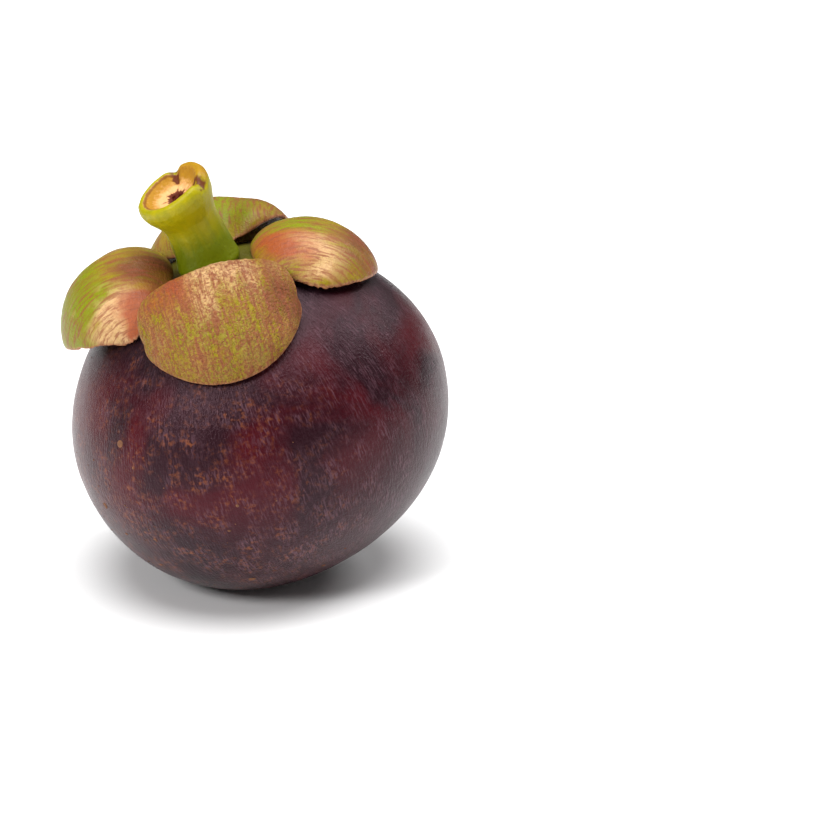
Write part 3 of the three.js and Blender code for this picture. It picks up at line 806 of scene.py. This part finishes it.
def stalk_material(stalk):
    """Fresh mangosteen stalk, grown and broken off by hand: green bark over pale, drying pith.

    The bark is smooth and slightly waxy; the break is dull, pale buff to amber, with dark edges.
    """
    material, tree, shader = new_material("stalk_green_bark_broken")
    place = add(tree, "ShaderNodeAttribute", attribute_name="place").outputs["Vector"]
    masks = {name: add(tree, "ShaderNodeAttribute", attribute_name=name).outputs["Fac"]
             for name in ("low", "cut", "outer", "crown", "knob", "notch", "pit")}
    # Faint streaks up the bark, 1 mm wide; flecks 0.5 mm across on the break.
    upright = add(tree, "ShaderNodeMapping", {"Vector": place, "Scale": (0.9, 0.9, 0.1)})
    streaks = add(tree, "ShaderNodeTexNoise", {"Vector": upright, "Scale": 1.0, "Detail": 3.0})
    flecks = add(tree, "ShaderNodeTexNoise", {"Vector": place, "Scale": 2.0, "Detail": 5.0})
    # Darker green towards the foot is painted shade from the calyx; the streaks are the bark's own.
    shade = add(tree, "ShaderNodeMath", {0: masks["low"], 1: streaks}, operation="ADD")
    greenness = add(tree, "ShaderNodeMapRange",
                    {"Value": shade, "From Min": 0.4, "From Max": 1.3})
    bark = add(tree, "ShaderNodeMix",
               {0: greenness, 6: rgba(stalk.fresh), 7: rgba(stalk.shaded_green)}, data_type="RGBA")
    drying = add(tree, "ShaderNodeMath", {0: flecks, 1: masks["outer"]}, operation="ADD")
    dried = add(tree, "ShaderNodeMapRange", {"Value": drying, "From Min": 0.75, "From Max": 1.45})
    pith = add(tree, "ShaderNodeMix",
               {0: dried, 6: rgba(stalk.pith), 7: rgba(stalk.amber)}, data_type="RGBA")
    coat = bark.outputs[2]
    layers = (("cut", pith.outputs[2], 1.0), ("crown", rgba(stalk.dark), 0.6),
              ("knob", rgba(stalk.amber), 0.85), ("notch", rgba(stalk.dark), 0.95),
              ("pit", rgba(stalk.dark), 1.0))
    for name, tint, most in layers:
        broken = add(tree, "ShaderNodeMath", {0: flecks, 1: masks[name]}, operation="ADD")
        amount = add(tree, "ShaderNodeMapRange",
                     {"Value": broken, "From Min": 0.75, "From Max": 1.25, "To Max": most})
        mixed = add(tree, "ShaderNodeMix", {0: amount, 6: coat, 7: tint}, data_type="RGBA")
        coat = mixed.outputs[2]
    tree.links.new(coat, shader.inputs["Base Color"])
    gloss = add(tree, "ShaderNodeMapRange",
                {"Value": masks["cut"], "To Min": 0.42, "To Max": 0.7})
    tree.links.new(gloss.outputs[0], shader.inputs["Roughness"])
    bump = add(tree, "ShaderNodeBump", {"Height": flecks, "Strength": 0.35, "Distance": 0.0003})
    tree.links.new(bump.outputs[0], shader.inputs["Normal"])
    shader.inputs["IOR"].default_value = TISSUE_IOR
    shader.inputs["Specular IOR Level"].default_value = 0.3
    shader.inputs["Subsurface Weight"].default_value = 0.08
    shader.inputs["Subsurface Radius"].default_value = (0.001, 0.0012, 0.0003)
    return material


class MANGOSTEEN_OT_stalk(bpy.types.Operator):
    """Make the stalk with its broken end."""
    bl_idname = "mangosteen.stalk"
    bl_label = "Stalk"

    def execute(self, context):
        stalk = context.scene.mangosteen.stalk
        points, attributes = stalk_shape(stalk)
        faces = ball_faces(stalk.rings, stalk.around)
        piece = make_piece("stalk_bark", to_row(points), faces, stalk_material(stalk), attributes)
        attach(piece, BODY)
        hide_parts("stalk")
        return {"FINISHED"}


# ---- Stigma and scabs -------------------------------------------------------------------------

LOBE_RINGS, LOBE_AROUND = 16, 24
LOBE_OVERLAP = 1.02
BOSS_RADIUS = 0.14  # as a share of the stigma's radius
BOSS_HEIGHT = 0.45  # as a share of the boss's radius
BARK_SHADE = 0.45  # how dark the low spots are beside the bark colour
SCAB_SHADE = 0.55
SCAB_DENSITY = 50000.0  # to the square metre, before the masks thin them out
SCAB_THICKNESS = 0.09 * MM
SCAB_SMALLEST = 0.15  # as a share of the largest
SCAB_SLIMMEST = 0.45  # width as a share of length
SCAB_RARITY = 8.0  # a higher power makes large scabs rarer
SCAB_LOW = (0.001, 0.003)  # heights in metres between which they start, above the floor
SCAB_HIGH = (0.034, 0.04)  # heights in metres between which they stop, under the calyx

def dry_material(name, shade, dark):
    """Dead corky plant tissue, dried on the fruit: dull, flaky, paler on its high spots."""
    material, tree, shader = new_material(name)
    place = add(tree, "ShaderNodeTexCoord").outputs["Object"]
    # Flakes 0.5 mm across.
    flakes = add(tree, "ShaderNodeTexNoise", {"Vector": place, "Scale": 1800.0, "Detail": 3.0})
    spread = add(tree, "ShaderNodeMapRange", {"Value": flakes, "From Min": 0.35, "From Max": 0.65})
    mixed = add(tree, "ShaderNodeMix", {0: spread, 6: rgba(dark), 7: rgba(shade)},
                data_type="RGBA")
    tree.links.new(mixed.outputs[2], shader.inputs["Base Color"])
    bump = add(tree, "ShaderNodeBump", {"Height": flakes, "Strength": 0.5, "Distance": 0.00015})
    tree.links.new(bump.outputs[0], shader.inputs["Normal"])
    shader.inputs["Roughness"].default_value = 0.8
    return material


def stigma_lobe(stigma):
    """One lobe of the stigma: a flat teardrop with its narrow end at the origin."""
    polar, azimuth = ball_angles(LOBE_RINGS, LOBE_AROUND)
    reach = stigma.radius / MM
    half_angle = math.pi / stigma.lobes
    flat = np.sin(polar)
    out = 0.5 * reach * (1 + flat * np.cos(azimuth))
    side = flat * np.sin(azimuth) * out * math.sin(half_angle) * LOBE_OVERLAP
    thick = 0.5 * stigma.thickness / MM * np.cos(polar) * (0.6 + 0.4 * out / reach)
    mesh = bpy.data.meshes.new("stigma_lobe")
    mesh.from_pydata((np.stack([out, side, thick], axis=1) * MM).tolist(), [],
                     ball_faces(LOBE_RINGS, LOBE_AROUND))
    return mesh


def rosette_tree():
    """Geometry tree that repeats one lobe around a centre, with a small boss in the middle."""
    tree, given = new_tree("stigma_rosette_ring", [
        ("Geometry", "NodeSocketGeometry"), ("Lobes", "NodeSocketInt"),
        ("Boss radius", "NodeSocketFloat"), ("Boss height", "NodeSocketFloat"),
        ("Material", "NodeSocketMaterial")])
    ring = add(tree, "GeometryNodeMeshLine", {"Count": given["Lobes"], "Offset": (0, 0, 0)})
    index = add(tree, "GeometryNodeInputIndex")
    step = add(tree, "ShaderNodeMath", {0: FULL_TURN, 1: given["Lobes"]}, operation="DIVIDE")
    angle = add(tree, "ShaderNodeMath", {0: index, 1: step}, operation="MULTIPLY")
    turn = add(tree, "ShaderNodeCombineXYZ", {2: angle})
    lobes = add(tree, "GeometryNodeInstanceOnPoints",
                {"Points": ring, "Instance": given["Geometry"], "Rotation": turn})
    ball = add(tree, "GeometryNodeMeshUVSphere",
               {"Segments": 24, "Rings": 12, "Radius": given["Boss radius"]})
    squash = add(tree, "ShaderNodeCombineXYZ", {0: 1.0, 1: 1.0, 2: given["Boss height"]})
    boss = add(tree, "GeometryNodeTransform", {"Geometry": ball, "Scale": squash})
    joined = add(tree, "GeometryNodeJoinGeometry")
    tree.links.new(lobes.outputs[0], joined.inputs[0])
    tree.links.new(boss.outputs[0], joined.inputs[0])
    real = add(tree, "GeometryNodeRealizeInstances", {"Geometry": joined})
    painted = add(tree, "GeometryNodeSetMaterial",
                  {"Geometry": real, "Material": given["Material"]})
    add(tree, "NodeGroupOutput", {0: painted})
    return tree


def drape_on_underside(mesh, thickness):
    """Lays a flat rosette against the underside of the rind, clear of it by the contact gap."""
    flat = np.array([vertex.co for vertex in mesh.vertices]) / MM
    rind = bpy.context.scene.mangosteen.rind
    spread = np.hypot(flat[:, 0], flat[:, 1])
    azimuth = np.arctan2(flat[:, 1], flat[:, 0])
    down = math.pi - np.arctan2(spread, rind.equator_radius / MM * rind.ratio_bottom)
    reach = rind_radius(down, azimuth) + CONTACT_GAP + 0.5 * thickness + flat[:, 2]
    points = np.stack([reach * np.sin(down) * np.cos(azimuth),
                       reach * np.sin(down) * np.sin(azimuth), reach * np.cos(down)], axis=1)
    mesh.vertices.foreach_set("co", to_row(points).ravel())
    mesh.flip_normals()
    mesh.update()


class MANGOSTEEN_OT_stigma(bpy.types.Operator):
    """Make the dry stigma under the fruit."""
    bl_idname = "mangosteen.stigma"
    bl_label = "Stigma"

    def execute(self, context):
        stigma = context.scene.mangosteen.stigma
        dark = tuple(BARK_SHADE * part for part in stigma.bark)
        inputs = {"Lobes": stigma.lobes, "Boss radius": BOSS_RADIUS * stigma.radius,
                  "Boss height": BOSS_HEIGHT,
                  "Material": dry_material("stigma_dead_bark", stigma.bark, dark)}
        piece = run_tree("stigma_rosette_dry", rosette_tree(), stigma_lobe(stigma), inputs)
        drape_on_underside(piece.data, stigma.thickness / MM)
        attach(piece, BODY)
        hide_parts("stigma_rosette")
        return {"FINISHED"}


def scab_tree():
    """Geometry tree that scatters small flat scabs over the scuffed side of the rind."""
    tree, given = new_tree("rind_scab_scatter", [
        ("Geometry", "NodeSocketGeometry"), ("Density", "NodeSocketFloat"),
        ("Largest", "NodeSocketFloat"), ("Thickness", "NodeSocketFloat"),
        ("Scuffed side", "NodeSocketVector"), ("Seed", "NodeSocketInt"),
        ("Material", "NodeSocketMaterial")])
    facing = add(tree, "ShaderNodeVectorMath",
                 {0: add(tree, "GeometryNodeInputNormal"), 1: given["Scuffed side"]},
                 operation="DOT_PRODUCT")
    side = add(tree, "ShaderNodeMapRange",
               {"Value": facing.outputs["Value"], "From Min": 0.1, "From Max": 0.95,
                "To Min": 0.04})
    place = add(tree, "GeometryNodeInputPosition")
    clumps = add(tree, "ShaderNodeTexNoise", {"Vector": place, "Scale": 90.0})
    clumped = add(tree, "ShaderNodeMapRange", {"Value": clumps, "From Min": 0.4, "From Max": 0.62})
    height = add(tree, "ShaderNodeSeparateXYZ", {0: place})
    clear = add(tree, "ShaderNodeMapRange",
                {"Value": height.outputs[2], "From Min": SCAB_LOW[0], "From Max": SCAB_LOW[1]})
    under_calyx = add(tree, "ShaderNodeMapRange",
                      {"Value": height.outputs[2], "From Min": SCAB_HIGH[0],
                       "From Max": SCAB_HIGH[1], "To Min": 1.0, "To Max": 0.0})
    weight = add(tree, "ShaderNodeMath", {0: side, 1: clumped}, operation="MULTIPLY")
    lifted = add(tree, "ShaderNodeMath", {0: weight, 1: clear}, operation="MULTIPLY")
    kept = add(tree, "ShaderNodeMath", {0: lifted, 1: under_calyx}, operation="MULTIPLY")
    density = add(tree, "ShaderNodeMath", {0: kept, 1: given["Density"]}, operation="MULTIPLY")
    points = add(tree, "GeometryNodeDistributePointsOnFaces",
                 {"Mesh": given["Geometry"], "Density": density, "Seed": given["Seed"]})
    ball = add(tree, "GeometryNodeMeshUVSphere", {"Segments": 9, "Rings": 5, "Radius": 1.0})
    chance = add(tree, "FunctionNodeRandomValue", {"Min": 0.0, "Max": 1.0, "Seed": 3},
                 data_type="FLOAT")
    mostly_small = add(tree, "ShaderNodeMath", {0: chance.outputs[1], 1: SCAB_RARITY},
                       operation="POWER")
    grown = add(tree, "ShaderNodeMath", {0: mostly_small, 1: 1 - SCAB_SMALLEST, 2: SCAB_SMALLEST},
                operation="MULTIPLY_ADD")
    wide = add(tree, "ShaderNodeMath", {0: grown, 1: given["Largest"]}, operation="MULTIPLY")
    slimness = add(tree, "FunctionNodeRandomValue",
                   {"Min": SCAB_SLIMMEST, "Max": 1.0, "Seed": 8}, data_type="FLOAT")
    slim = add(tree, "ShaderNodeMath", {0: wide, 1: slimness.outputs[1]}, operation="MULTIPLY")
    size = add(tree, "ShaderNodeCombineXYZ", {0: wide, 1: slim, 2: given["Thickness"]})
    scabs = add(tree, "GeometryNodeInstanceOnPoints",
                {"Points": points, "Instance": ball, "Scale": size,
                 "Rotation": points.outputs["Rotation"]})
    real = add(tree, "GeometryNodeRealizeInstances", {"Geometry": scabs})
    painted = add(tree, "GeometryNodeSetMaterial",
                  {"Geometry": real, "Material": given["Material"]})
    add(tree, "NodeGroupOutput", {0: painted})
    return tree


class MANGOSTEEN_OT_scabs(bpy.types.Operator):
    """Scatter corky scabs over the scuffed side of the rind."""
    bl_idname = "mangosteen.scabs"
    bl_label = "Scabs"

    def execute(self, context):
        stigma = context.scene.mangosteen.stigma
        skin = bpy.data.objects["rind"].data.copy()
        dark = tuple(SCAB_SHADE * part for part in stigma.scab)
        inputs = {"Density": SCAB_DENSITY, "Largest": stigma.scab_radius,
                  "Thickness": SCAB_THICKNESS,
                  "Scuffed side": SCUFFED_SIDE, "Seed": stigma.scab_seed,
                  "Material": dry_material("scab_corky_dried", stigma.scab, dark)}
        piece = run_tree("rind_scabs", scab_tree(), skin, inputs)
        if not piece.data.vertices:
            raise RuntimeError("no scab was placed on the rind")
        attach(piece, BODY)
        return {"FINISHED"}


# ---- Stage ------------------------------------------------------------------------------------

FLOOR_HALF = 3.0
FLOOR_ROUGHNESS = 0.6
SENSOR_WIDTH = 36
FLOOR_DROP = 0.02 * MM
KEY_PLACE = (0.05, -0.15, 1.4)
FRONT_PLACE = (-0.5, -0.6, 0.55)
FRONT_SIZE = 0.25
RIM_PLACE = (0.6, 0.33, 0.65)
RIM_SIZE = 0.35
VIEW_TARGET = (26.47, 2.51, 26.58)


class MANGOSTEEN_OT_stage(bpy.types.Operator):
    """Make the floor, the light and the camera."""
    bl_idname = "mangosteen.stage"
    bl_label = "Stage"

    def execute(self, context):
        stage = context.scene.mangosteen.stage
        scene = context.scene
        mesh = bpy.data.meshes.new("floor")
        corners = [(-1, -1), (1, -1), (1, 1), (-1, 1)]
        mesh.from_pydata([(x * FLOOR_HALF, y * FLOOR_HALF, -FLOOR_DROP) for x, y in corners], [],
                         [(0, 1, 2, 3)])
        # Matt white paper: no highlight of its own, only shadow.
        material, _, shader = new_material("floor_matt_white_paper")
        shader.inputs["Base Color"].default_value = rgba(stage.floor)
        shader.inputs["Roughness"].default_value = FLOOR_ROUGHNESS
        mesh.materials.append(material)
        floor = bpy.data.objects.new("floor", mesh)
        scene.collection.objects.link(floor)

        world = bpy.data.worlds.new("studio")
        world.use_nodes = True
        background = world.node_tree.nodes["Background"]
        background.inputs[0].default_value = (1, 1, 1, 1)
        background.inputs[1].default_value = stage.sky
        scene.world = world

        key = bpy.data.lights.new("key", "SUN")
        key.energy = stage.key
        key.angle = stage.key_spread
        front = bpy.data.lights.new("front", "AREA")
        front.energy = stage.front
        front.size = FRONT_SIZE
        rim = bpy.data.lights.new("rim", "AREA")
        rim.energy = stage.rim
        rim.size = RIM_SIZE
        for light, place in ((key, KEY_PLACE), (front, FRONT_PLACE), (rim, RIM_PLACE)):
            lamp = bpy.data.objects.new(light.name, light)
            lamp.location = place
            aim = Vector((0, 0, CENTRE.z)) - Vector(place)
            lamp.rotation_euler = aim.to_track_quat("-Z", "Y").to_euler()
            scene.collection.objects.link(lamp)

        lens = bpy.data.cameras.new("camera")
        lens.lens = stage.lens
        lens.sensor_width = SENSOR_WIDTH
        camera = bpy.data.objects.new("camera", lens)
        back = Vector((0, -math.cos(stage.camera_angle), math.sin(stage.camera_angle)))
        camera.location = Vector(VIEW_TARGET) * MM + back * stage.camera_distance
        camera.rotation_euler = (math.radians(90) - stage.camera_angle, 0, 0)
        scene.collection.objects.link(camera)
        scene.camera = camera
        scene.view_settings.view_transform = "Standard"
        return {"FINISHED"}


# ---- Add-on -----------------------------------------------------------------------------------

class MANGOSTEEN_PT_panel(bpy.types.Panel):
    """The sizes and colours, with a button for each piece."""
    bl_idname = "MANGOSTEEN_PT_panel"
    bl_label = "Mangosteen"
    bl_space_type = "VIEW_3D"
    bl_region_type = "UI"
    bl_category = "Mangosteen"

    def draw(self, context):
        settings = context.scene.mangosteen
        for name in ("rind", "calyx", "stalk", "stigma", "stage"):
            box = self.layout.box()
            box.label(text=name.capitalize())
            group = getattr(settings, name)
            for key in group.__annotations__:
                box.prop(group, key)
        for operator in OPERATORS:
            self.layout.operator(operator.bl_idname)


OPERATORS = (MANGOSTEEN_OT_stage, MANGOSTEEN_OT_rind, MANGOSTEEN_OT_scabs, MANGOSTEEN_OT_stigma,
             MANGOSTEEN_OT_sepals, MANGOSTEEN_OT_stalk)
CLASSES = (RindSettings, CalyxSettings, StalkSettings, StigmaSettings, StageSettings,
           MangosteenSettings, *OPERATORS, MANGOSTEEN_PT_panel)


def register():
    for item in CLASSES:
        bpy.utils.register_class(item)
    bpy.types.Scene.mangosteen = PointerProperty(type=MangosteenSettings)


def unregister():
    del bpy.types.Scene.mangosteen
    for item in reversed(CLASSES):
        bpy.utils.unregister_class(item)


def main():
    register()
    bpy.ops.mangosteen.stage()
    bpy.ops.mangosteen.rind()
    bpy.ops.mangosteen.scabs()
    bpy.ops.mangosteen.stigma()
    bpy.ops.mangosteen.sepals()
    bpy.ops.mangosteen.stalk()


if __name__ == "__main__":
    main()
